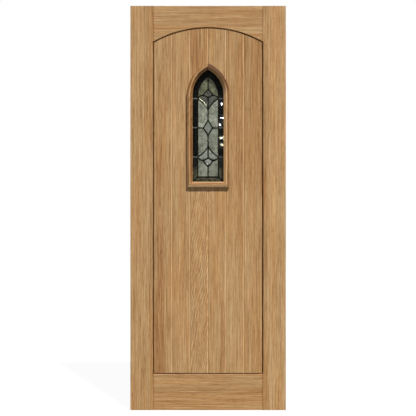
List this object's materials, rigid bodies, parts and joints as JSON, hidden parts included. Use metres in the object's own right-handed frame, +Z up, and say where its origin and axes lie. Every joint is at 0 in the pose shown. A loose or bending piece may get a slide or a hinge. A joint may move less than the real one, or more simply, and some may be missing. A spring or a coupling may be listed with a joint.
{
  "type": "hardwood exterior door",
  "caption": "Hardwood exterior door leaf: stiles and rails round an arched panel of V-jointed boards, with a small pointed leaded light held by raised beads.",
  "frame": {"origin": "middle of the bottom edge, at half the width and half the thickness of the leaf", "axes": "+Z up the leaf, -Y out of its outside face, +X to the right seen from outside"},
  "size_m": [0.762, 0.068, 1.981],
  "materials": {
    "oak_stile": "satin",
    "oak_rail": "satin",
    "oak_board": "satin",
    "oak_bead": "satin",
    "clear_glass": "gloss",
    "textured_glass": "satin",
    "border_glass": "gloss",
    "bevel_glass": "gloss",
    "lead_came": "satin",
    "spacer_bar": "satin",
    "edge_sealant": "matte",
    "glazing_tape": "matte",
    "setting_block": "matte"
  },
  "bodies": {
    "root": {"board_1": "oak_board", "board_2": "oak_board", "board_3_lower": "oak_board", "board_3_upper": "oak_board", "board_4_lower": "oak_board", "board_4_upper": "oak_board", "board_5": "oak_board", "board_6": "oak_board", "border_glass_arch_left": "border_glass", "border_glass_arch_right": "border_glass", "border_glass_bottom": "border_glass", "border_glass_foot_left": "border_glass", "border_glass_foot_right": "border_glass", "border_glass_lower_left": "border_glass", "border_glass_lower_right": "border_glass", "border_glass_upper_left": "border_glass", "border_glass_upper_right": "border_glass", "bottom_rail": "oak_rail", "came_lattice": "lead_came", "diamond_bevel": "bevel_glass", "edge_seal": "edge_sealant", "hinge_stile": "oak_stile", "inner_bead_arch_left": "oak_bead", "inner_bead_arch_right": "oak_bead", "inner_bead_left": "oak_bead", "inner_bead_right": "oak_bead", "inner_bead_sill": "oak_bead", "inner_glazing_tape": "glazing_tape", "inner_pane": "clear_glass", "inner_spacer": "spacer_bar", "kite_bevel_lower": "bevel_glass", "kite_bevel_upper": "bevel_glass", "lock_stile": "oak_stile", "outer_bead_arch_left": "oak_bead", "outer_bead_arch_right": "oak_bead", "outer_bead_left": "oak_bead", "outer_bead_right": "oak_bead", "outer_bead_sill": "oak_bead", "outer_glazing_tape": "glazing_tape", "outer_pane": "clear_glass", "outer_spacer": "spacer_bar", "setting_blocks": "setting_block", "textured_glass_bottom_left": "textured_glass", "textured_glass_bottom_right": "textured_glass", "textured_glass_lower_left": "textured_glass", "textured_glass_lower_right": "textured_glass", "textured_glass_top_left": "textured_glass", "textured_glass_top_right": "textured_glass", "textured_glass_upper_left": "textured_glass", "textured_glass_upper_right": "textured_glass", "top_rail": "oak_rail", "wing_bevel_lower_left": "bevel_glass", "wing_bevel_lower_right": "bevel_glass", "wing_bevel_upper_left": "bevel_glass", "wing_bevel_upper_right": "bevel_glass"}
  },
  "joints": []
}
